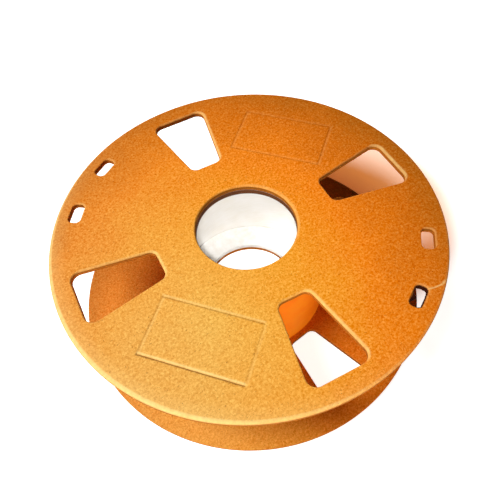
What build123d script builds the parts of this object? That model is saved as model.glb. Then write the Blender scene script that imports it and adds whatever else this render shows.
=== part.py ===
from build123d import *
from math import radians, tan
import os

# Empty cardboard spool for filament, lying on its lower flange.
# Two die-cut board flanges hold a wound paper core between them, and a board disc centres the core at each end.
# Lengths are in millimetres and angles in degrees. Z is the spool's axis, and the origin is under its lower end.

# Whole spool, over the outer faces of the two flanges
spool_width = 60.0

# Flange: a round plate of solid board. The die bevels the lips of its cut-outs, and the upper one's rim is rolled round.
flange_radius = 100.0
flange_thickness = 3.0
rim_round = 1.3
lip_bevel = 0.8

# Bore for the holder's spindle, the same through flanges and discs
bore_radius = 26.0

# Core: a wound paper tube between the flanges
core_radius = 44.0
core_wall = 3.0

# Centring discs: glued to the inner faces of the flanges, inside the core
disc_thickness = 3.0
disc_clearance = 0.2

# Windows: trapezoids with radial sides, from just outside the core nearly to the rim
window_count = 4
window_half_angle = 10.0
window_core_margin = 3.0
window_rim_margin = 10.7
window_inner_round = 4.0
window_outer_round = 4.6

# Slots in the upper flange that hold the filament's end: two pairs near the rim, opposite each other
slot_length = 12.0
slot_width = 6.5
slot_corner_round = 2.4
slot_rim_margin = 6.8
slot_pair_angles = (135.0, 315.0)
slot_half_spread = 10.7

# Panels on the upper flange's outer face, halfway between windows, each marked off by a scored groove
panel_length = 50.0
panel_width = 30.0
score_width = 1.0
score_depth = 0.4
panel_rim_margin = 20.0
panel_angles = (45.0, 225.0)

# Turn of the lower flange's windows from the upper ones
lower_flange_turn = 11.0

# Reach of a cutting shape past the face that it opens
cut_overrun = 1.0


def window_outline():
    """One window on the +X side, with straight ends and rounded corners."""
    side_slope = tan(radians(window_half_angle))
    inner_reach = core_radius + window_core_margin
    outer_reach = flange_radius - window_rim_margin
    corners = [
        (inner_reach, -inner_reach * side_slope),
        (outer_reach, -outer_reach * side_slope),
        (outer_reach, outer_reach * side_slope),
        (inner_reach, inner_reach * side_slope),
    ]
    trapezoid = make_face(Polyline(*corners, close=True))
    trapezoid = fillet(trapezoid.vertices().sort_by(Axis.X)[:2], window_inner_round)
    return fillet(trapezoid.vertices().sort_by(Axis.X)[-2:], window_outer_round)


def slot_outline():
    """One slot on the +X side, with its long side along the rim."""
    slot_reach = flange_radius - slot_rim_margin - slot_width / 2
    return Pos(slot_reach, 0) * RectangleRounded(slot_width, slot_length, slot_corner_round)


def score_cutter():
    """The space of the groove round one panel, on the +X side of a flange that stands on the XY plane."""
    panel_reach = flange_radius - panel_rim_margin - panel_width / 2
    outside = Rectangle(panel_width + score_width, panel_length + score_width)
    inside = Rectangle(panel_width - score_width, panel_length - score_width)
    floor = Pos(panel_reach, 0, flange_thickness - score_depth) * (outside - inside)
    return extrude(floor, amount=score_depth + cut_overrun)


def windowed_outline():
    """The outline that both flanges share: rim, bore and windows."""
    disc = Circle(flange_radius) - Circle(bore_radius)
    return disc - PolarLocations(0, window_count) * window_outline()


def slotted_outline():
    """The upper flange's outline, which has the slots too."""
    outline = windowed_outline()
    for pair_angle in slot_pair_angles:
        for turn in (pair_angle - slot_half_spread, pair_angle + slot_half_spread):
            outline -= Rot(0, 0, turn) * slot_outline()
    return outline


def bevelled_plate(outline, rim_too):
    """A flange's board on the XY plane, with its outer face up and the lips of that face bevelled."""
    plate = extrude(outline, amount=flange_thickness)
    # The longest edge of the outer face is the rim, and the others are the lips of the cut-outs.
    edges = plate.edges().group_by(Axis.Z)[-1].sort_by(SortBy.LENGTH)
    return chamfer(edges if rim_too else edges[:-1], lip_bevel)


def rolled(plate):
    """A flange with the rim of its outer face rounded."""
    rim = plate.edges().group_by(Axis.Z)[-1].sort_by(SortBy.LENGTH)[-1]
    return fillet(rim, rim_round)


def scored(plate):
    """A flange with the grooves round its panels."""
    for turn in panel_angles:
        plate -= Rot(0, 0, turn) * score_cutter()
    return plate


def ring(outer_radius, inner_radius, height):
    """A round wall on the XY plane."""
    return extrude(Circle(outer_radius) - Circle(inner_radius), amount=height)


def turned_over(piece):
    """A piece turned over about the X axis and stood on the XY plane again."""
    over = Rot(180, 0, 0) * piece
    return Pos(0, 0, -over.bounding_box().min.Z) * over


upper_plate = scored(rolled(bevelled_plate(slotted_outline(), False)))
lower_plate = turned_over(bevelled_plate(windowed_outline(), True))
core_length = spool_width - 2 * flange_thickness
core_inner_radius = core_radius - core_wall
centring_disc = ring(core_inner_radius - disc_clearance, bore_radius, disc_thickness)

pieces = {
    "upper_flange": Pos(0, 0, spool_width - flange_thickness) * upper_plate,
    "lower_flange": Rot(0, 0, lower_flange_turn) * lower_plate,
    "core_tube": Pos(0, 0, flange_thickness) * ring(core_radius, core_inner_radius, core_length),
    "upper_centring_disc": Pos(0, 0, spool_width - flange_thickness - disc_thickness) * centring_disc,
    "lower_centring_disc": Pos(0, 0, flange_thickness) * centring_disc,
}

os.makedirs("parts", exist_ok=True)
for name, piece in pieces.items():
    piece.label = name
    export_step(piece, f"parts/{name}.step")
    box = piece.bounding_box()
    print(name, "volume", round(piece.volume, 1), "from z", round(box.min.Z, 3), "to z", round(box.max.Z, 3))
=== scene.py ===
import math

import bpy
import numpy as np
from mathutils import Matrix, Vector, noise
from mathutils.geometry import delaunay_2d_cdt


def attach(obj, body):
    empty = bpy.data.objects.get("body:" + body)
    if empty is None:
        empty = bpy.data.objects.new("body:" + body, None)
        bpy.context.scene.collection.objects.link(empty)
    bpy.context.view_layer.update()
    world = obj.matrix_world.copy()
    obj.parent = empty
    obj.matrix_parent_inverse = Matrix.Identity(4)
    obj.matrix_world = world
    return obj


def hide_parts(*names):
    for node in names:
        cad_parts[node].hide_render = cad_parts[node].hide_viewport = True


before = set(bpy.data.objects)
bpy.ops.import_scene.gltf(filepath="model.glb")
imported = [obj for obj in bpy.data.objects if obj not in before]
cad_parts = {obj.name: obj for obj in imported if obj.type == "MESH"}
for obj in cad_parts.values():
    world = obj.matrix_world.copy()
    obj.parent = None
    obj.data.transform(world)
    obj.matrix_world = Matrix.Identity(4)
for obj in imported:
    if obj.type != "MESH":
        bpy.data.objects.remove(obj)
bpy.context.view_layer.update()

# Empty cardboard spool, lying on its lower flange.
# Sizes are in millimetres and angles in degrees, and MM turns millimetres into the model's metres.
MM = 0.001
PER_MM = (1 / MM, 1 / MM, 1 / MM)

# The spool's own sizes, the same as in the part's source
SPOOL_WIDTH = 60.0
FLANGE_RADIUS = 100.0
BOARD = 3.0
BORE_RADIUS = 26.0
CORE_RADIUS = 44.0
CORE_WALL = 3.0
DISC_BOARD = 3.0
DISC_RADIUS = 40.8
WINDOW_TURNS = (0, 90, 180, 270)
WINDOW_REACH = (47.0, 89.3)
WINDOW_HALF_ANGLE = 10.0
WINDOW_ROUNDS = (4.0, 4.6)
SLOT_REACH = 89.95
SLOT_SIZE = (6.5, 12.0)
SLOT_ROUND = 2.4
SLOT_TURNS = (124.3, 145.7, 304.3, 325.7)
TORN_SLOT = 304.3
PANEL_REACH = 65.0
PANEL_SIZE = (30.0, 50.0)
PANEL_TURNS = (45.0, 225.0)
LOWER_TURN = 11.0

# Rolled lips: how far each reaches into the face and down the wall, and how pale it is painted, a little rubbed all
# round and a painted highlight on the side toward the light
RIM_LIP = (2.4, 1.3, 0.85)
WINDOW_LIP = (1.5, 1.1, 0.55)
BORE_LIP = (1.5, 1.1, 0.3)
SLOT_LIP = (0.9, 0.7, 0.3)

# Mesh: steps between points along each outline, the spacing of the points that fill a flange's faces,
# and how far the rim stays inside the faceted rim of the CAD model
RIM_STEP, BORE_STEP, WINDOW_STEP, SLOT_STEP = 1.0, 0.7, 0.9, 0.5
UPPER_GRID, LOWER_GRID = 1.5, 2.4
GRID_ROW = 0.866
GRID_REACH = 116
CLEAR_OF_EDGE = 0.7
RIM_INSET = 0.02

# Places in the noise from which each flange's own waviness and rough walls come
UPPER_SEED, LOWER_SEED = 3.7, 9.1

# How the photograph sees the spool: a turn about its axis
VIEW_TURN = math.radians(-23.576)


def as_seen(right, away, up):
    """A place given to the right of the spool's axis, away from the camera and above the floor."""
    c, s = math.cos(VIEW_TURN), math.sin(VIEW_TURN)
    return Vector((c * right - s * away, s * right + c * away, up)) * MM


# The die leant, each time a little differently. Where the way into the board, on its face, is this one,
# the lip of a cut-out, the rim or a scored line is wider, and it is painted paler there, a painted highlight on the
# side toward the light.
CUT_LEAN = np.array(as_seen(0.8, 0.6, 0.0)[:2]) / MM
RIM_LEAN = np.array(as_seen(0.7, 0.71, 0.0)[:2]) / MM
SCORE_LEAN = np.array(as_seen(0.73, 0.68, 0.0)[:2]) / MM


# ---------------------------------------------------------------- node trees

# Kinds of node that recur
MATH, VECTOR_MATH, RANGE = "ShaderNodeMath", "ShaderNodeVectorMath", "ShaderNodeMapRange"
NOISE, RAMP, MIX = "ShaderNodeTexNoise", "ShaderNodeValToRGB", "ShaderNodeMix"
COORDINATES, MAPPING, ATTRIBUTE = "ShaderNodeTexCoord", "ShaderNodeMapping", "ShaderNodeAttribute"
HUE, BUMP = "ShaderNodeHueSaturation", "ShaderNodeBump"
SHADER, MATERIAL_OUTPUT = "ShaderNodeBsdfPrincipled", "ShaderNodeOutputMaterial"


def linear(code):
    """An sRGB hex colour as linear RGBA."""
    parts = [int(code[i:i + 2], 16) / 255 for i in (1, 3, 5)]
    return [p / 12.92 if p <= 0.04045 else ((p + 0.055) / 1.055) ** 2.4 for p in parts] + [1.0]


def add(tree, kind, inputs=None, stops=None, **settings):
    """Adds a node. An input is a value, a hex colour, a socket, or a node whose first output feeds it.
    Stops are a ramp's places and colours."""
    made = tree.nodes.new(kind)
    for key, value in settings.items():
        setattr(made, key, value)
    for key, value in (inputs or {}).items():
        by_place = isinstance(key, int)
        socket = made.inputs[key] if by_place else next(s for s in made.inputs if s.enabled and s.name == key)
        if isinstance(value, bpy.types.Node):
            value = next(s for s in value.outputs if s.enabled)
        if isinstance(value, bpy.types.NodeSocket):
            tree.links.new(value, socket)
        else:
            hex_colour = isinstance(value, str) and value[0] == "#"
            socket.default_value = linear(value) if hex_colour else value
    if stops:
        ramp = made.color_ramp.elements
        while len(ramp) < len(stops):
            ramp.new(1.0)
        for element, (place, colour) in zip(ramp, stops):
            element.position, element.color = place, linear(colour)
    return made


def new_material(name):
    """An empty material and its tree."""
    made = bpy.data.materials.new(name)
    made.use_nodes = True
    made.node_tree.nodes.clear()
    return made, made.node_tree


def kraft_board():
    """Pressed solid kraft board, die-cut. The face is matt, with a fine worm-like grain of fibres. It is painted
    golden on the near side and a deeper orange toward the rim and the far right, a painted shade of the light
    falling off, and the lower flange is painted darker, a painted shade between the flanges. The rolled lips are a
    little rubbed and painted paler toward the light, a painted highlight, the scored lines are painted dark, a
    painted shade in their grooves, and the cut walls show brown plies."""
    made, tree = new_material("kraft_board")
    place = add(tree, COORDINATES).outputs["Object"]
    mm = add(tree, MAPPING, {"Vector": place, "Scale": PER_MM})
    # Painted shade: the tone deepens with the distance from a golden place in front of the bore, for the light's
    # fall-off, and clouds of about 30 mm and a mottle of about 4 mm run through the pulp
    away = add(tree, MAPPING, {"Vector": place, "Location": as_seen(-18, -57, 60), "Rotation": (0, 0, VIEW_TURN),
                               "Scale": (105 * MM, 140 * MM, 200 * MM)}, vector_type="TEXTURE")
    away = add(tree, VECTOR_MATH, {0: away}, operation="LENGTH").outputs["Value"]
    clouds = add(tree, NOISE, {"Vector": mm, "Scale": 1 / 30, "Detail": 2.0, "Roughness": 0.5})
    mottle = add(tree, NOISE, {"Vector": mm, "Scale": 1 / 4, "Detail": 3.0, "Roughness": 0.6})
    tone = add(tree, MATH, {0: clouds, 1: 0.25, 2: away}, operation="MULTIPLY_ADD")
    tone = add(tree, MATH, {0: mottle, 1: 0.15, 2: tone}, operation="MULTIPLY_ADD")
    tone = add(tree, RANGE, {"Value": tone, "From Min": 0.2, "From Max": 1.5})
    tone_and_shade_colour = add(tree, RAMP, {"Fac": tone}, stops=[
        (0.0, "#FFBC68"), (0.346, "#FFA84D"), (0.577, "#F99039"), (0.769, "#DB7B30"), (0.962, "#B86D36")])
    # Painted shade toward the far right, for the light's fall-off: paler and yellower before it, a purer orange past
    # it
    side_shade = add(tree, VECTOR_MATH, {0: place, 1: as_seen(0.885, 0.466, 0.0) / MM}, operation="DOT_PRODUCT")
    side_shade = add(tree, RANGE, {"Value": side_shade.outputs["Value"], "From Min": -90 * MM, "From Max": 90 * MM})
    side_shade = add(tree, RAMP, {"Fac": side_shade}, stops=[
        (0.0, "#ECFFFF"), (0.5, "#F8F7AB"), (0.75, "#FFF38C"), (1.0, "#FFEF72")])
    tone_and_shade_colour = add(tree, MIX, {"Factor": 1.0, "A": tone_and_shade_colour, "B": side_shade}, data_type="RGBA", blend_type="MULTIPLY")
    # Grain: bent noise of about 1 mm, paler on its ridges and deeper between them.
    # It is drawn coarser than real fibres, which wouldn't show.
    grain = add(tree, NOISE, {"Vector": mm, "Scale": 1.0, "Detail": 1.0, "Roughness": 0.5, "Distortion": 0.9})
    grain_and_shade_value, purer, redder = [
        add(tree, RANGE, {"Value": grain, "From Min": 0.25, "From Max": 0.75, "To Min": low, "To Max": high})
        for low, high in ((0.8, 1.15), (1.04, 0.96), (0.49, 0.51))]
    # The lower flange's board is painted darker, a painted shade between the flanges
    height = add(tree, "ShaderNodeSeparateXYZ", {0: place}).outputs["Z"]
    shade = add(tree, RANGE, {"Value": height, "From Min": BOARD * MM, "From Max": (SPOOL_WIDTH - BOARD) * MM,
                              "To Min": 0.82})
    grain_and_shade_value = add(tree, MATH, {0: grain_and_shade_value, 1: shade}, operation="MULTIPLY")
    face = add(tree, HUE, {"Color": tone_and_shade_colour, "Hue": redder, "Saturation": purer, "Value": grain_and_shade_value})
    # A few specks of bark, 0.5 to 1 mm
    specks = add(tree, NOISE, {"Vector": mm, "Scale": 1 / 0.7, "Detail": 1.0, "Distortion": 0.8})
    speck = add(tree, RANGE, {"Value": specks, "From Min": 0.66, "From Max": 0.76, "To Max": 0.6})
    face = add(tree, MIX, {"Factor": speck, "A": face, "B": "#8A4208"}, data_type="RGBA")
    # Lips and rim painted pale toward the light, a painted highlight over a little rubbing, banks beside the scored
    # lines painted pale, a painted highlight, and the pale line of the crease
    rubbed = add(tree, ATTRIBUTE, attribute_name="rubbed").outputs["Fac"]
    wear_and_highlight_share = add(tree, RANGE, {"Value": mottle, "From Min": 0.25, "From Max": 0.7, "To Min": 0.6, "To Max": 1.0})
    wear_and_highlight_share = add(tree, MATH, {0: wear_and_highlight_share, 1: rubbed}, operation="MULTIPLY")
    face = add(tree, MIX, {"Factor": wear_and_highlight_share, "A": face, "B": "#FFE496"}, data_type="RGBA")
    # Scored lines painted dark, a painted shade in their grooves
    scored = add(tree, ATTRIBUTE, attribute_name="scored").outputs["Fac"]
    scored = add(tree, MATH, {0: scored, 1: 0.75}, operation="MULTIPLY")
    face = add(tree, MIX, {"Factor": scored, "A": face, "B": "#7A3A06"}, data_type="RGBA")
    # Cut walls: plies of about 0.5 mm, each a little lighter or darker
    depth = add(tree, ATTRIBUTE, attribute_name="ply_depth").outputs["Fac"]
    wander = add(tree, MATH, {0: mottle, 1: 0.5, 2: depth}, operation="MULTIPLY_ADD")
    plies = add(tree, NOISE, {"W": wander, "Scale": 1 / 0.5, "Detail": 1.0}, noise_dimensions="1D")
    wall = add(tree, RAMP, {"Fac": plies}, stops=[(0.30, "#96500F"), (0.52, "#BE6E20"), (0.72, "#D98C38")])
    wall = add(tree, HUE, {"Color": wall, "Value": grain_and_shade_value})
    cut = add(tree, ATTRIBUTE, attribute_name="cut_wall").outputs["Fac"]
    colour = add(tree, MIX, {"Factor": cut, "A": face, "B": wall}, data_type="RGBA")
    # The torn slot's fibres, made nearly black
    torn = add(tree, ATTRIBUTE, attribute_name="torn").outputs["Fac"]
    colour = add(tree, MIX, {"Factor": torn, "A": colour, "B": "#3C1608"}, data_type="RGBA")
    rough = add(tree, RANGE, {"Value": mottle, "From Min": 0.3, "From Max": 0.7, "To Min": 0.8, "To Max": 0.95})
    bump = add(tree, BUMP, {"Height": grain, "Strength": 0.4, "Distance": 0.15 * MM})
    shader = add(tree, SHADER, {"Base Color": colour, "Roughness": rough, "Normal": bump,
                                "Specular IOR Level": 0.06})
    add(tree, MATERIAL_OUTPUT, {"Surface": shader})
    return made


def core_paper():
    """Kraft paper, wound in butted strips into a tube. Outside it is a smooth deep orange with a faint grain
    along the strip, and inside it is lined with pale paper."""
    made, tree = new_material("wound_core_paper")
    # The grain's fibres are about 9 mm long and 0.7 mm wide
    strip = add(tree, ATTRIBUTE, attribute_name="strip").outputs["Vector"]
    grain = add(tree, MAPPING, {"Vector": strip, "Scale": (1 / 9.0, 1 / 0.7, 1.0)})
    grain = add(tree, NOISE, {"Vector": grain, "Scale": 1.0, "Detail": 3.0, "Roughness": 0.6})
    place = add(tree, COORDINATES).outputs["Object"]
    mm = add(tree, MAPPING, {"Vector": place, "Scale": PER_MM})
    cloud = add(tree, NOISE, {"Vector": mm, "Scale": 1 / 14.0, "Detail": 2.0})
    tone = add(tree, MATH, {0: grain, 1: cloud}, operation="ADD")
    tone = add(tree, MATH, {0: tone, 1: 0.5}, operation="MULTIPLY")
    outside = add(tree, RAMP, {"Fac": tone}, stops=[(0.36, "#FB7604"), (0.5, "#FF840A"), (0.64, "#FF9214")])
    inside = add(tree, RAMP, {"Fac": tone}, stops=[(0.36, "#F6F2EA"), (0.5, "#FBF8F3"), (0.64, "#FFFDFA")])
    lining = add(tree, ATTRIBUTE, attribute_name="lining").outputs["Fac"]
    colour = add(tree, MIX, {"Factor": lining, "A": outside, "B": inside}, data_type="RGBA")
    seam = add(tree, ATTRIBUTE, attribute_name="seam").outputs["Fac"]
    seam = add(tree, MATH, {0: seam, 1: 0.35}, operation="MULTIPLY")
    colour = add(tree, MIX, {"Factor": seam, "A": colour, "B": "#9A5214"}, data_type="RGBA")
    rough = add(tree, RANGE, {"Value": grain, "From Min": 0.3, "From Max": 0.7, "To Min": 0.6, "To Max": 0.75})
    bump = add(tree, BUMP, {"Height": grain, "Strength": 0.25, "Distance": 0.06 * MM})
    shader = add(tree, SHADER, {"Base Color": colour, "Roughness": rough, "Normal": bump,
                                "Specular IOR Level": 0.1})
    add(tree, MATERIAL_OUTPUT, {"Surface": shader})
    return made


def lined_greyboard():
    """Greyboard with a pale liner on its faces. Its cut wall shows red-brown plies."""
    made, tree = new_material("lined_greyboard")
    place = add(tree, COORDINATES).outputs["Object"]
    mm = add(tree, MAPPING, {"Vector": place, "Scale": PER_MM})
    cloud = add(tree, NOISE, {"Vector": mm, "Scale": 1 / 4.0, "Detail": 4.0, "Roughness": 0.65})
    liner = add(tree, RAMP, {"Fac": cloud}, stops=[(0.35, "#F3EFE8"), (0.5, "#F9F6F1"), (0.65, "#FFFDFA")])
    # Plies of about 0.45 mm
    depth = add(tree, ATTRIBUTE, attribute_name="ply_depth").outputs["Fac"]
    wander = add(tree, MATH, {0: cloud, 1: 0.4, 2: depth}, operation="MULTIPLY_ADD")
    plies = add(tree, NOISE, {"W": wander, "Scale": 1 / 0.45, "Detail": 1.0}, noise_dimensions="1D")
    wall = add(tree, RAMP, {"Fac": plies}, stops=[(0.3, "#4C2611"), (0.5, "#663A1C"), (0.7, "#784D2A")])
    cut = add(tree, ATTRIBUTE, attribute_name="cut_wall").outputs["Fac"]
    colour = add(tree, MIX, {"Factor": cut, "A": liner, "B": wall}, data_type="RGBA")
    bump = add(tree, BUMP, {"Height": cloud, "Strength": 0.3, "Distance": 0.1 * MM})
    shader = add(tree, SHADER, {"Base Color": colour, "Roughness": 0.85, "Normal": bump,
                                "Specular IOR Level": 0.2})
    add(tree, MATERIAL_OUTPUT, {"Surface": shader})
    return made


# ---------------------------------------------------------------- outlines in the board

def turned(points, degrees):
    """Points or directions of the plane, turned about the spool's axis."""
    c, s = math.cos(math.radians(degrees)), math.sin(math.radians(degrees))
    return points @ np.array([[c, s], [-s, c]])


def bend_between(arriving, leaving):
    """The angle, in radians, from one direction of the plane to the next."""
    return math.atan2(arriving[0] * leaving[1] - arriving[1] * leaving[0], arriving @ leaving)


def rounded_outline(corners, rounds, step):
    """Points along a cut-out with rounded corners, anticlockwise, and at each the direction into the board."""
    corners = np.array(corners, float)
    points, outward = [], []
    for k, corner in enumerate(corners):
        arriving = corner - corners[k - 1]
        leaving = corners[(k + 1) % len(corners)] - corner
        arriving, run = arriving / np.linalg.norm(arriving), np.linalg.norm(leaving)
        leaving = leaving / run
        bend = bend_between(arriving, leaving)
        reach = rounds[k] * math.tan(bend / 2)
        first = np.array([arriving[1], -arriving[0]])
        centre = corner - arriving * reach - first * rounds[k]
        # Points are closer together round a corner than along a side
        for share in np.linspace(0, 1, max(4, math.ceil(rounds[k] * bend / (step * 0.6))) + 1):
            direction = turned(first, math.degrees(bend * share))
            points.append(centre + direction * rounds[k])
            outward.append(direction)
        following = (k + 1) % len(corners)
        next_leaving = corners[(following + 1) % len(corners)] - corners[following]
        straight = run - reach - rounds[following] * math.tan(bend_between(leaving, next_leaving) / 2)
        side = np.array([leaving[1], -leaving[0]])
        for share in np.linspace(0, 1, max(2, math.ceil(straight / step)) + 1)[1:-1]:
            points.append(corner + leaving * (reach + straight * share))
            outward.append(side)
    return np.array(points), np.array(outward)


def round_outline(radius, step, board_outside):
    """Points round a circle, and at each the direction into the board."""
    angles = np.linspace(0, 2 * math.pi, math.ceil(2 * math.pi * radius / step), endpoint=False)
    outward = np.stack([np.cos(angles), np.sin(angles)], 1)
    return outward * radius, outward if board_outside else -outward


def window_outline():
    """One window on the +X side, with radial sides."""
    slope = math.tan(math.radians(WINDOW_HALF_ANGLE))
    near, far = WINDOW_REACH
    corners = [(near, -near * slope), (far, -far * slope), (far, far * slope), (near, near * slope)]
    inner, outer = WINDOW_ROUNDS
    return rounded_outline(corners, (inner, outer, outer, inner), WINDOW_STEP)


def slot_outline():
    """One slot on the +X side, its long side along the rim."""
    near, far = SLOT_REACH - SLOT_SIZE[0] / 2, SLOT_REACH + SLOT_SIZE[0] / 2
    half = SLOT_SIZE[1] / 2
    return rounded_outline([(near, -half), (far, -half), (far, half), (near, half)], (SLOT_ROUND,) * 4, SLOT_STEP)


def inside_outline(points, outline):
    """Which points lie inside a closed outline."""
    inside = np.zeros(len(points), bool)
    for (x0, y0), (x1, y1) in zip(outline, np.roll(outline, -1, axis=0)):
        if y0 != y1:
            crossing = (y0 > points[:, 1]) != (y1 > points[:, 1])
            inside ^= crossing & (points[:, 0] < (x1 - x0) * (points[:, 1] - y0) / (y1 - y0) + x0)
    return inside


def on_board(points, loops):
    """Which points lie inside the first loop, the rim, and outside the others, the cut-outs."""
    inside = inside_outline(points, loops[0])
    for loop in loops[1:]:
        inside &= ~inside_outline(points, loop)
    return inside


# ---------------------------------------------------------------- relief of the board's face

# How deep each side of a panel's frame was pressed: near the axis, near the rim, clockwise end, anticlockwise end
PRESSED = {45.0: (0.14, 0.10, 0.15, 0.14), 225.0: (0.22, 0.55, 0.12, 0.08)}
# How pale the bank beside a panel's lines is painted, a painted highlight on the groove's slow side
BANK_HIGHLIGHT = {45.0: 0.3, 225.0: 0.9}
# A scored line's section: the widths of its steep and its slow side, and the depth at which its line is darkest
STEEP_SIDE, SLOW_SIDE, FULL_DEPTH = 0.4, 2.4, 0.4
# How far from a scored line the rows of points beside it lie, and how wide a band they need free of other points
SCORE_ROWS = (-2.4, -1.6, -0.9, -0.4, -0.2, 0.0, 0.2, 0.4, 0.9, 1.6, 2.4)
SCORE_BAND = 3.0

# The crease from the torn slot to the rim, the rows of points beside it, and its depth and width
CREASE = np.array([(56.3, -73.1), (57.7, -73.5), (59.3, -74.0), (61.4, -74.2), (63.7, -74.3), (66.2, -73.6),
                   (67.7, -73.2)])
CREASE_ROWS = (-1.0, -0.6, -0.3, 0.0, 0.3, 0.6, 1.0)
CREASE_DEPTH, CREASE_WIDTH = 0.2, 0.9
CREASE_RUB, CREASE_RUB_WIDTH = 0.8, 0.6

# The waviness of a glued board: its most, its length, and where it starts and is full, from the axis
WARP, WARP_LENGTH, WARP_FROM, WARP_RAMP = 0.25, 55, 46, 40


def panel_relief(points, panel_turn):
    """Depth of one panel's scored frame, how dark its line is painted, a painted shade in the groove, and how pale
    its bank is painted, a painted highlight. The scoring rule leant, so each groove is steep on one side and rises
    slowly on the other."""
    local = turned(points, -panel_turn) - [PANEL_REACH, 0.0]
    lean = turned(SCORE_LEAN, -panel_turn)
    depth, line, bank = np.zeros(len(points)), np.zeros(len(points)), np.zeros(len(points))
    for axis, ends in ((0, PRESSED[panel_turn][:2]), (1, PRESSED[panel_turn][2:])):
        half, other_half = PANEL_SIZE[axis] / 2, PANEL_SIZE[1 - axis] / 2
        along = np.clip((other_half + 0.5 - np.abs(local[:, 1 - axis])) / 0.5, 0, 1)
        for side, deepest in zip((-1, 1), ends):
            past = (local[:, axis] - side * half) * (1 if lean[axis] > 0 else -1)
            steep = np.clip(1 + past / STEEP_SIDE, 0, 1)
            slow = np.clip(1 - past / SLOW_SIDE, 0, 1) ** 1.6
            share = along * min(1.0, deepest / FULL_DEPTH)
            depth = np.maximum(depth, deepest * np.where(past < 0, steep, slow) * along)
            # The line is painted dark, a painted shade in the groove
            line = np.maximum(line, share * np.clip(1.3 - np.abs(past + 0.1) / 0.35, 0, 1))
            # The bank on the slow side is painted pale, a painted highlight
            bank = np.maximum(bank, BANK_HIGHLIGHT[panel_turn] * share * np.clip(1.1 - np.abs(past - 0.8) / 0.8, 0, 1))
    return depth, line, bank


def panel_lines(panel_turn):
    """Rows of points along one panel's scored frame, close together where it is steep."""
    rows = []
    for offset in SCORE_ROWS:
        half_across, half_along = PANEL_SIZE[0] / 2 + offset, PANEL_SIZE[1] / 2 + offset
        across = np.linspace(-half_across, half_across, 41)
        along = np.linspace(-half_along, half_along, 67)
        loop = [(-half_across, b) for b in along[:-1]] + [(a, half_along) for a in across[:-1]]
        loop += [(half_across, -b) for b in along[:-1]] + [(-a, -half_along) for a in across[:-1]]
        rows.append(turned(np.array(loop) + [PANEL_REACH, 0.0], panel_turn))
    return rows


def crease_lines():
    """Rows of points along the crease, close together."""
    rows = []
    for a, b in zip(CREASE[:-1], CREASE[1:]):
        along = (b - a) / np.linalg.norm(b - a)
        across = np.array([-along[1], along[0]])
        for share in np.linspace(0, 1, math.ceil(np.linalg.norm(b - a) / 0.5), endpoint=False):
            rows += [a + share * (b - a) + across * offset for offset in CREASE_ROWS]
    return np.array(rows)


def crease_nearness(points, width):
    """1 on the crease, falling to 0 at that width from it."""
    near = np.full(len(points), np.inf)
    for a, b in zip(CREASE[:-1], CREASE[1:]):
        share = np.clip(((points - a) @ (b - a)) / ((b - a) @ (b - a)), 0, 1)
        near = np.minimum(near, np.linalg.norm(points - a - share[:, None] * (b - a), axis=1))
    return np.clip(1 - near / width, 0, 1)


def warp(points, seed):
    """How far a glued board's waviness takes each point down, none where it sits on the core."""
    free = np.clip((np.linalg.norm(points, axis=1) - WARP_FROM) / WARP_RAMP, 0, 1)
    waves = [noise.noise((x / WARP_LENGTH, y / WARP_LENGTH, seed)) for x, y in points]
    return np.array([WARP * f * (0.5 + 0.5 * wave) for wave, f in zip(waves, free)])


# ---------------------------------------------------------------- pieces

def new_mesh(name, places, faces, marks):
    """A smooth mesh from places in millimetres, with one number for each vertex under each mark's name."""
    mesh = bpy.data.meshes.new(name)
    mesh.from_pydata((np.array(places) * MM).tolist(), [], [tuple(int(i) for i in f) for f in faces])
    for key, values in marks.items():
        kept = mesh.attributes.new(key, "FLOAT", "POINT")
        kept.data.foreach_set("value", np.asarray(values, np.float32))
    mesh.polygons.foreach_set("use_smooth", [True] * len(mesh.polygons))
    mesh.update()
    return mesh


def new_piece(name, mesh, node):
    """An object that stands for a CAD node."""
    piece = bpy.data.objects.new(name, mesh)
    bpy.context.scene.collection.objects.link(piece)
    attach(piece, "root")
    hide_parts(node)
    return piece


def edge_section(lip_across, lip_down, lip_paling):
    """Section of a cut edge, from the outer face over the rolled lip and down the wall to the inner face.
    Each row has its inset, its depth, how much it is cut wall and how pale it is painted: a little rubbing, and
    toward the light a painted highlight."""
    rows = [(lip_across + 0.6, 0.0, 0.0, 0.0), (lip_across, 0.0, 0.0, 0.15)]
    for share in (0.17, 0.33, 0.5, 0.67, 0.83, 1.0):
        angle = share * math.pi / 2
        cut = max(0.0, 2 * share - 1.2) / 0.8
        rows.append((lip_across * (1 - math.sin(angle)), lip_down * (1 - math.cos(angle)), cut, lip_paling))
    for share in (0.25, 0.5, 0.75, 1.0):
        rows.append((0.0, lip_down + (BOARD - 0.3 - lip_down) * share, 1.0, 0.2))
    # The inner face's edge is only crushed a little
    rows += [(0.04, BOARD - 0.12, 1.0, 0.1), (0.12, BOARD - 0.04, 0.7, 0.1)]
    rows += [(0.3, BOARD, 0.0, 0.1), (0.8, BOARD, 0.0, 0.0)]
    return rows


def torn_reach(points, tongue_root, depth):
    """How far torn fibres stand out of a cut wall: short shreds, and a tongue at its root."""
    shreds = np.array([noise.noise((x / 0.9, y / 0.9, depth * 1.5)) for x, y in points])
    tongue = np.exp(-(np.linalg.norm(points - tongue_root, axis=1) / 1.5) ** 2) * min(1.0, depth / 1.6)
    return 0.5 + 0.4 * shreds + 2.2 * tongue


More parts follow.
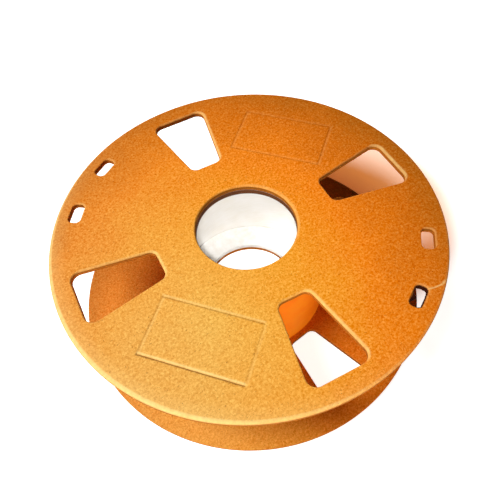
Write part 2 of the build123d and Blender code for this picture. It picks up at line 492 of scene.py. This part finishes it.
def edge_rows(edges, seed):
    """Rows of points over each cut edge of a flange, the rim first, with what marks them and the faces between.
    The rings are each edge's first and last row, which bound the outer and the inner face."""
    places, faces, outer_rings, inner_rings = [], [], [], []
    marks = {"cut_wall": [], "rubbed": [], "scored": [], "torn": [], "ply_depth": []}
    for edge, ((points, into_board), lip, tongue_root) in enumerate(edges):
        section, count, base = edge_section(*lip), len(points), sum(len(p) for p in places)
        lean = np.clip(into_board @ (CUT_LEAN if edge else RIM_LEAN), 0, 1)
        for row, (inset, depth, cut, paling) in enumerate(section):
            moved = points + into_board * (inset * (0.5 + 0.5 * lean))[:, None]
            if 0 < row < len(section) - 1:
                rough = np.array([noise.noise((x / 1.3, y / 1.3, depth + seed)) for x, y in points])
                moved = moved + into_board * (0.05 * np.abs(rough) * cut)[:, None]
            if tongue_root is not None and cut > 0.5:
                moved = moved - into_board * torn_reach(points, tongue_root, depth)[:, None] * min(1.0, cut)
            places.append(np.column_stack([moved, np.full(count, -depth)]))
            marks["cut_wall"] += [cut] * count
            # Lips are painted paler where they face the light, a painted highlight, over a little rubbing all round
            marks["rubbed"] += list(paling * (0.15 + 0.85 * lean))
            marks["scored"] += [0.0] * count
            marks["torn"] += [0.0 if tongue_root is None else min(1.0, 2 * cut)] * count
            marks["ply_depth"] += [depth] * count
        for row in range(len(section) - 1):
            for k in range(count):
                a, b = base + row * count + k, base + row * count + (k + 1) % count
                faces.append((a, b, b + count, a + count) if edge else (b, a, a + count, b + count))
        outer_rings.append(np.arange(base, base + count))
        inner_rings.append(np.arange(base, base + count) + (len(section) - 1) * count)
    return np.vstack(places), faces, marks, outer_rings, inner_rings


def even_sheet(grid):
    """Points of a grid of even triangles that a flange fits in."""
    columns, rows = np.arange(-FLANGE_RADIUS, FLANGE_RADIUS, grid), np.arange(-GRID_REACH, GRID_REACH, grid)
    return np.array([(x + (grid / 2 if j % 2 else 0), y * GRID_ROW) for j, y in enumerate(rows) for x in columns])


def with_relief_rows(sheet, panels, creased):
    """A sheet's points, with close rows instead of them along the panels' scored frames, and more at the crease."""
    rows = [row for turn in panels for row in panel_lines(turn)] + ([crease_lines()] if creased else [])
    for turn in panels:
        local = np.abs(turned(sheet, -turn) - [PANEL_REACH, 0.0])
        reach = np.array(PANEL_SIZE) / 2
        near = np.all(local < reach + SCORE_BAND, axis=1) & ~np.all(local < reach - SCORE_BAND, axis=1)
        sheet = sheet[~near]
    return np.vstack([sheet] + rows)


def fill_face(loops, free):
    """Fills a face between its rim and cut-outs with even triangles.
    Gives the free points that it uses, and the triangles, in which these follow after the loops' points."""
    flat = np.vstack(loops)
    free = free[on_board(free, loops)]
    nearest = np.full(len(free), np.inf)
    for part in np.array_split(flat, max(1, len(flat) // 200)):
        nearest = np.minimum(nearest, np.linalg.norm(free[:, None] - part[None], axis=2).min(1))
    free = free[nearest > CLEAR_OF_EDGE]
    links, start = [], 0
    for loop in loops:
        links += [(start + k, start + (k + 1) % len(loop)) for k in range(len(loop))]
        start += len(loop)
    filled = delaunay_2d_cdt([Vector(p) for p in np.vstack([flat, free])], links, [], 0, 1e-5)
    where, corners = np.array([tuple(v) for v in filled[0]]), np.array(filled[2])
    source = np.array([given[0] for given in filled[3]])
    return free, source[corners[on_board(where[corners].mean(1), loops)]]


def press_face(places, marks, panels, creased):
    """Presses the panels' frames and the crease into the outer face, and paints it pale there and along the rim:
    painted highlights on the banks and on the rim's side toward the light, and the crease's pale line.
    """
    on_face = np.clip(1 + places[:, 2], 0, 1)
    flat_face = on_face > 0.99
    flat = places[:, :2].copy()
    reach = np.linalg.norm(flat, axis=1)
    lean = np.clip(-flat @ RIM_LEAN / reach, 0, 1)
    # The rim's face is painted pale on its side toward the light, a painted highlight
    rubbed = np.maximum(marks["rubbed"], 0.3 * lean * np.clip((reach - 91) / 8, 0, 1) * on_face)
    for turn in panels:
        depth, line, bank = panel_relief(flat, turn)
        places[:, 2] -= depth * flat_face
        marks["scored"] = np.maximum(marks["scored"], line * flat_face)
        rubbed = np.maximum(rubbed, bank * flat_face)
    if creased:
        places[:, 2] -= CREASE_DEPTH * crease_nearness(flat, CREASE_WIDTH) * on_face
        rubbed = np.maximum(rubbed, CREASE_RUB * crease_nearness(flat, CREASE_RUB_WIDTH) * on_face)
    marks["rubbed"] = rubbed


def flange_mesh(name, cutouts, panels, creased, grid, seed):
    """A flange's board with its outer face at z 0 and the board below it.
    Rows run over each cut edge, and both faces are filled with even triangles between the edges."""
    rim = round_outline(FLANGE_RADIUS - RIM_INSET, RIM_STEP, False)
    places, faces, marks, outer_rings, inner_rings = edge_rows([(rim, RIM_LIP, None)] + cutouts, seed)
    sheet = even_sheet(grid)
    outer, inner = with_relief_rows(sheet, panels, creased), sheet[::3]
    for rings, free, depth, order in ((outer_rings, outer, 0.0, 1), (inner_rings, inner, BOARD, -1)):
        free, triangles = fill_face([places[ring][:, :2] for ring in rings], free)
        names = np.concatenate(rings + [np.arange(len(places), len(places) + len(free))])
        faces += list(names[triangles[:, ::order]])
        places = np.vstack([places, np.column_stack([free, np.full(len(free), -depth)])])
    marks = {key: np.array(values + [0.0] * (len(places) - len(values))) for key, values in marks.items()}
    press_face(places, marks, panels, creased)
    places[:, 2] -= warp(places[:, :2], seed)
    return new_mesh(name, places, faces, marks)


def cut_out(outline, lip, turn, tongue_root=None):
    """A cut-out turned to its place, with its lip, and the root of its torn tongue if it has one."""
    points, outward = outline
    return (turned(points, turn), turned(outward, turn)), lip, tongue_root


def bore_and_windows(turn_back):
    """The cut-outs that both flanges have, the windows turned back by an angle."""
    bore = round_outline(BORE_RADIUS, BORE_STEP, True)
    windows = [cut_out(window_outline(), WINDOW_LIP, turn - turn_back) for turn in WINDOW_TURNS]
    return [(bore, BORE_LIP, None)] + windows


def upper_flange(board):
    """The upper flange: bore, windows, slots, scored panels and the crease at the torn slot."""
    cutouts = bore_and_windows(0)
    for turn in SLOT_TURNS:
        tongue_root = turned(np.array([SLOT_REACH - SLOT_SIZE[0] / 2, -0.5]), turn) if turn == TORN_SLOT else None
        cutouts.append(cut_out(slot_outline(), SLOT_LIP, turn, tongue_root))
    mesh = flange_mesh("upper_flange_board", cutouts, PANEL_TURNS, True, UPPER_GRID, UPPER_SEED)
    mesh.transform(Matrix.Translation((0, 0, SPOOL_WIDTH * MM)))
    mesh.materials.append(board)
    return new_piece("upper_flange_board", mesh, "upper_flange")


def lower_flange(board):
    """The lower flange: bore and windows, with its outer face down."""
    mesh = flange_mesh("lower_flange_board", bore_and_windows(LOWER_TURN), (), False, LOWER_GRID, LOWER_SEED)
    mesh.transform(Matrix.Rotation(math.pi, 4, "X"))
    mesh.materials.append(board)
    return new_piece("lower_flange_board", mesh, "lower_flange")


def centring_disc(name, node, lowest, bare_wall, board):
    """A board ring inside the core's end, with slightly crushed edges and rough walls.
    Its walls are bare where no liner is turned over them."""
    around = 220
    angles = np.linspace(0, 2 * math.pi, around, endpoint=False)
    # Up a wall: inset and height
    wall = [(0.25, 0.0), (0.08, 0.08), (0.0, 0.25), (0.0, 0.8), (0.0, 1.5), (0.0, 2.2), (0.0, DISC_BOARD - 0.25),
            (0.08, DISC_BOARD - 0.08), (0.25, DISC_BOARD)]
    section = [(DISC_RADIUS - inset, height, inset < 0.2) for inset, height in wall]
    section += [(radius, DISC_BOARD, False) for radius in (38.0, 34.0, 30.0)]
    section += [(BORE_RADIUS + inset, height, inset < 0.2) for inset, height in reversed(wall)]
    section += [(radius, 0.0, False) for radius in (30.0, 34.0, 38.0)]
    places, faces, marks = [], [], {"cut_wall": [], "ply_depth": []}
    for row, (radius, height, cut) in enumerate(section):
        for k, angle in enumerate(angles):
            c, s = math.cos(angle), math.sin(angle)
            rough = 0.05 * noise.noise((c * radius / 1.5, s * radius / 1.5, height + lowest)) if cut else 0.0
            places.append(((radius - abs(rough)) * c, (radius - abs(rough)) * s, lowest + height))
            marks["cut_wall"].append(bare_wall if cut else 0.0)
            marks["ply_depth"].append(height)
            after, above = (k + 1) % around, (row + 1) % len(section)
            faces.append((row * around + k, row * around + after, above * around + after, above * around + k))
    mesh = new_mesh(name, places, faces, marks)
    mesh.materials.append(board)
    return new_piece(name, mesh, node)


def core_tube(paper):
    """The core, by rule: a strip of paper wound up a helix, each turn butted against the last, with the butt
    line a little sunk."""
    tree = bpy.data.node_groups.new("wound_core", "GeometryNodeTree")
    sizes = {"Outer radius": CORE_RADIUS, "Wall": CORE_WALL, "Length": SPOOL_WIDTH - 2 * BOARD,
             "Base height": BOARD, "Strip width": 78.0, "Butt depth": 0.18, "Butt width": 0.8, "Start turn": 0.625}
    for key in sizes:
        tree.interface.new_socket(key, in_out="INPUT", socket_type="NodeSocketFloat")
    tree.interface.new_socket("Paper", in_out="INPUT", socket_type="NodeSocketMaterial")
    tree.interface.new_socket("Tube", in_out="OUTPUT", socket_type="NodeSocketGeometry")
    given = add(tree, "NodeGroupInput").outputs

    # A sheet of 240 by 80 faces: around the tube, and along its section,
    # which goes 36 up the outside, 4 over the end, 36 down the inside and 4 under
    sheet = add(tree, "GeometryNodeMeshGrid", {"Size X": 1.0, "Size Y": 1.0, "Vertices X": 241, "Vertices Y": 81})
    place = add(tree, "ShaderNodeSeparateXYZ", {0: add(tree, "GeometryNodeInputPosition")}).outputs
    around = add(tree, MATH, {0: place["X"], 1: 0.5}, operation="ADD")
    along = add(tree, MATH, {0: place["Y"], 1: 0.5}, operation="ADD")
    up, down, over, under = [
        add(tree, RANGE, {"Value": along, "From Min": low, "From Max": high})
        for low, high in ((0.0, 0.45), (0.5, 0.95), (0.45, 0.5), (0.95, 1.0))]
    height = add(tree, MATH, {0: up, 1: down}, operation="SUBTRACT")
    inward = add(tree, MATH, {0: over, 1: under}, operation="SUBTRACT")
    outward = add(tree, MATH, {0: 1.0, 1: inward}, operation="SUBTRACT")
    rise = add(tree, MATH, {0: height, 1: given["Length"]}, operation="MULTIPLY")
    # Where a point lies across its strip, and how near it is to a butt line
    climb = add(tree, MATH, {0: rise, 1: given["Strip width"]}, operation="DIVIDE")
    across = add(tree, MATH, {0: around, 1: climb}, operation="ADD")
    across = add(tree, MATH, {0: across}, operation="FRACT")
    side = add(tree, MATH, {0: across, 1: 0.5}, operation="SUBTRACT")
    side = add(tree, MATH, {0: side}, operation="ABSOLUTE")
    span = add(tree, MATH, {0: 0.5, 1: side}, operation="SUBTRACT")
    span = add(tree, MATH, {0: span, 1: given["Strip width"]}, operation="MULTIPLY")
    butt = add(tree, RANGE, {"Value": span, "From Min": 0.0, "From Max": given["Butt width"],
                             "To Min": 1.0, "To Max": 0.0})
    butt = add(tree, MATH, {0: butt, 1: outward}, operation="MULTIPLY")
    sunk = add(tree, MATH, {0: butt, 1: given["Butt depth"]}, operation="MULTIPLY")
    sunk = add(tree, MATH, {0: inward, 1: given["Wall"], 2: sunk}, operation="MULTIPLY_ADD")
    radius = add(tree, MATH, {0: given["Outer radius"], 1: sunk}, operation="SUBTRACT")
    angle = add(tree, MATH, {0: around, 1: given["Start turn"]}, operation="ADD")
    angle = add(tree, MATH, {0: angle, 1: 2 * math.pi}, operation="MULTIPLY")
    cosine = add(tree, MATH, {0: angle}, operation="COSINE")
    sine = add(tree, MATH, {0: angle}, operation="SINE")
    where = add(tree, "ShaderNodeCombineXYZ", {
        "X": add(tree, MATH, {0: radius, 1: cosine}, operation="MULTIPLY"),
        "Y": add(tree, MATH, {0: radius, 1: sine}, operation="MULTIPLY"),
        "Z": add(tree, MATH, {0: rise, 1: given["Base height"]}, operation="ADD")})
    metres = add(tree, VECTOR_MATH, {0: where, "Scale": MM}, operation="SCALE")
    run = add(tree, MATH, {0: angle, 1: given["Outer radius"]}, operation="MULTIPLY")
    strip = add(tree, "ShaderNodeCombineXYZ", {"X": run, "Y": span})
    shape = sheet
    for key, kind, value in (("lining", "FLOAT", inward), ("seam", "FLOAT", butt), ("strip", "FLOAT_VECTOR", strip)):
        shape = add(tree, "GeometryNodeStoreNamedAttribute", {"Geometry": shape, "Name": key, "Value": value},
                    data_type=kind)
    shape = add(tree, "GeometryNodeSetPosition", {"Geometry": shape, "Position": metres})
    shape = add(tree, "GeometryNodeMergeByDistance", {"Geometry": shape, "Distance": 0.001 * MM})
    shape = add(tree, "GeometryNodeSetShadeSmooth", {0: shape})
    shape = add(tree, "GeometryNodeRealizeInstances", {"Geometry": shape})
    shape = add(tree, "GeometryNodeSetMaterial", {"Geometry": shape, "Material": given["Paper"]})
    add(tree, "NodeGroupOutput", {0: shape})

    maker = bpy.data.objects.new("core_maker", bpy.data.meshes.new("core_maker"))
    bpy.context.scene.collection.objects.link(maker)
    wound = maker.modifiers.new("wound_core", "NODES")
    wound.node_group = tree
    for item in tree.interface.items_tree:
        if item.in_out == "INPUT":
            wound[item.identifier] = paper if item.name == "Paper" else sizes[item.name]
    mesh = bpy.data.meshes.new_from_object(maker.evaluated_get(bpy.context.evaluated_depsgraph_get()))
    bpy.data.objects.remove(maker)
    mesh.name = "core_paper_tube"
    mesh.set_sharp_from_angle(angle=math.radians(50))
    return new_piece("core_paper_tube", mesh, "core_tube")


# ---------------------------------------------------------------- floor, light and camera

def seen_directly(tree):
    """1 for the rays that see a surface themselves or in a gloss or through glass, 0 for those that only carry
    its light."""
    rays = add(tree, "ShaderNodeLightPath").outputs
    direct = add(tree, MATH, {0: rays["Is Camera Ray"], 1: rays["Is Glossy Ray"]}, operation="MAXIMUM")
    return add(tree, MATH, {0: direct, 1: rays["Is Transmission Ray"]}, operation="MAXIMUM")


def white_paper():
    """A sweep of white paper, white to the eye also where it isn't lit. On the side away from the light a painted
    shadow in the board's colour glows in it, standing for the spool's shadow and its bounce light, deepest at the
    foot of the lower flange and not inside the bore."""
    made, tree = new_material("white_paper_sweep")
    paper = "#F4F2EF"
    place = add(tree, COORDINATES).outputs["Object"]
    foot = add(tree, VECTOR_MATH, {0: place}, operation="LENGTH").outputs["Value"]
    foot = add(tree, RANGE, {"Value": foot, "From Min": 60 * MM, "From Max": 140 * MM})
    # Painted shadow: the paper's glow turns orange-brown in a round zone behind the spool, darkest at the lower
    # flange's foot
    cast = add(tree, RAMP, {"Fac": foot}, stops=[
        (0.0, paper), (0.15, "#984400"), (0.49, "#984400"), (0.72, "#C26E24"), (1.0, "#D48640")])
    shadow = add(tree, VECTOR_MATH, {0: place, 1: as_seen(62, 52, 0)}, operation="DISTANCE").outputs["Value"]
    shadow = add(tree, RANGE, {"Value": shadow, "From Min": 86 * MM, "From Max": 66 * MM},
                 interpolation_type="SMOOTHSTEP")
    painted_shadow = add(tree, MIX, {"Factor": shadow, "A": paper, "B": cast}, data_type="RGBA")
    lit = add(tree, "ShaderNodeBsdfDiffuse", {"Color": (0.8, 0.8, 0.8, 1.0)})
    glow = add(tree, "ShaderNodeEmission", {"Color": painted_shadow, "Strength": seen_directly(tree)})
    add(tree, MATERIAL_OUTPUT, {"Surface": add(tree, "ShaderNodeAddShader", {0: lit, 1: glow})})
    return made


def floor():
    """A square of paper, a hair below the spool so that their faces don't coincide."""
    half, below = 3.0, -0.0002
    mesh = bpy.data.meshes.new("floor")
    mesh.from_pydata([(-half, -half, below), (half, -half, below), (half, half, below), (-half, half, below)], [],
                     [(0, 1, 2, 3)])
    mesh.materials.append(white_paper())
    made = bpy.data.objects.new("floor", mesh)
    bpy.context.scene.collection.objects.link(made)


def room():
    """A dim pale room that looks white behind the floor."""
    world = bpy.data.worlds.new("pale_room")
    world.use_nodes = True
    tree = world.node_tree
    tree.nodes.clear()
    dim = add(tree, "ShaderNodeBackground", {"Color": (1.0, 0.95, 0.9, 1.0), "Strength": 0.05})
    white = add(tree, "ShaderNodeBackground", {"Color": "#FFFFFF", "Strength": 1.0})
    seen = add(tree, "ShaderNodeMixShader", {0: seen_directly(tree), 1: dim, 2: white})
    add(tree, "ShaderNodeOutputWorld", {"Surface": seen})
    bpy.context.scene.world = world


def hang(lamp, where, aim):
    """Hangs a lamp at a place, shining at another."""
    holder = bpy.data.objects.new(lamp.name, lamp)
    bpy.context.scene.collection.objects.link(holder)
    facing = (aim - where).to_track_quat("-Z", "Y").to_matrix().to_4x4()
    holder.matrix_world = Matrix.Translation(where) @ facing
    return holder


def lamps():
    """A soft light from the left and above, a low card in front, and a lamp for the inside of the core."""
    for name, place, size, watts, colour in (
            ("key_softbox", (-705, -200, 1220), (0.66, 0.66), 22.5, (1.0, 0.98, 0.95)),
            ("low_front_card", (60, -420, 22), (0.30, 0.035), 0.85, (1.0, 0.97, 0.92))):
        lamp = bpy.data.lights.new(name, "AREA")
        lamp.shape, lamp.energy, lamp.color = "ELLIPSE", watts, colour
        lamp.size, lamp.size_y = size
        hang(lamp, as_seen(*place), as_seen(0, 0, 40))
    # A snooted lamp shines into the core through the bore and nowhere else, so that the pale lining renders about
    # as pale as it is. Its beam is as oval as the bore looks from there.
    snoot = bpy.data.lights.new("core_snoot", "SPOT")
    snoot.energy, snoot.spot_size, snoot.spot_blend, snoot.shadow_soft_size = 2.45, math.radians(9.9), 0.15, 0.002
    holder = hang(snoot, as_seen(0, -142, 245), as_seen(0, -1.7, SPOOL_WIDTH))
    holder.matrix_world = holder.matrix_world @ Matrix.Diagonal((1.26, 1.0, 1.0, 1.0))


def camera():
    """The camera as fitted to the rims, bore, core and windows in the photograph."""
    # In the photograph's pixels: its width, the focal length, and how far its middle lies above the lens's axis
    frame_width, focal_length, raised = 500, 454.79, 50
    sensor = 36.0
    lens = bpy.data.cameras.new("photo_camera")
    lens.sensor_width, lens.lens = sensor, focal_length / frame_width * sensor
    lens.shift_x, lens.shift_y = 0.0, raised / frame_width
    lens.clip_start, lens.clip_end = 0.01, 20.0
    lens.dof.use_dof = False
    holder = bpy.data.objects.new("photo_camera", lens)
    bpy.context.scene.collection.objects.link(holder)
    place = Vector((-56.939, -130.477, 245.072)) * MM
    right, up = Vector((0.88663018, -0.46065267, -0.04106137)), Vector((0.42375715, 0.77362370, 0.47110110))
    axes = Matrix((right, up, right.cross(up))).transposed().to_4x4()
    holder.matrix_world = Matrix.Translation(place) @ axes
    bpy.context.scene.camera = holder


board = kraft_board()
greyboard = lined_greyboard()
upper_flange(board)
lower_flange(board)
core_tube(core_paper())
centring_disc("upper_disc_board", "upper_centring_disc", SPOOL_WIDTH - BOARD - DISC_BOARD, 1.0, greyboard)
centring_disc("lower_disc_board", "lower_centring_disc", BOARD, 0.1, greyboard)
floor()
room()
lamps()
camera()
bpy.context.scene.view_settings.view_transform = "Standard"
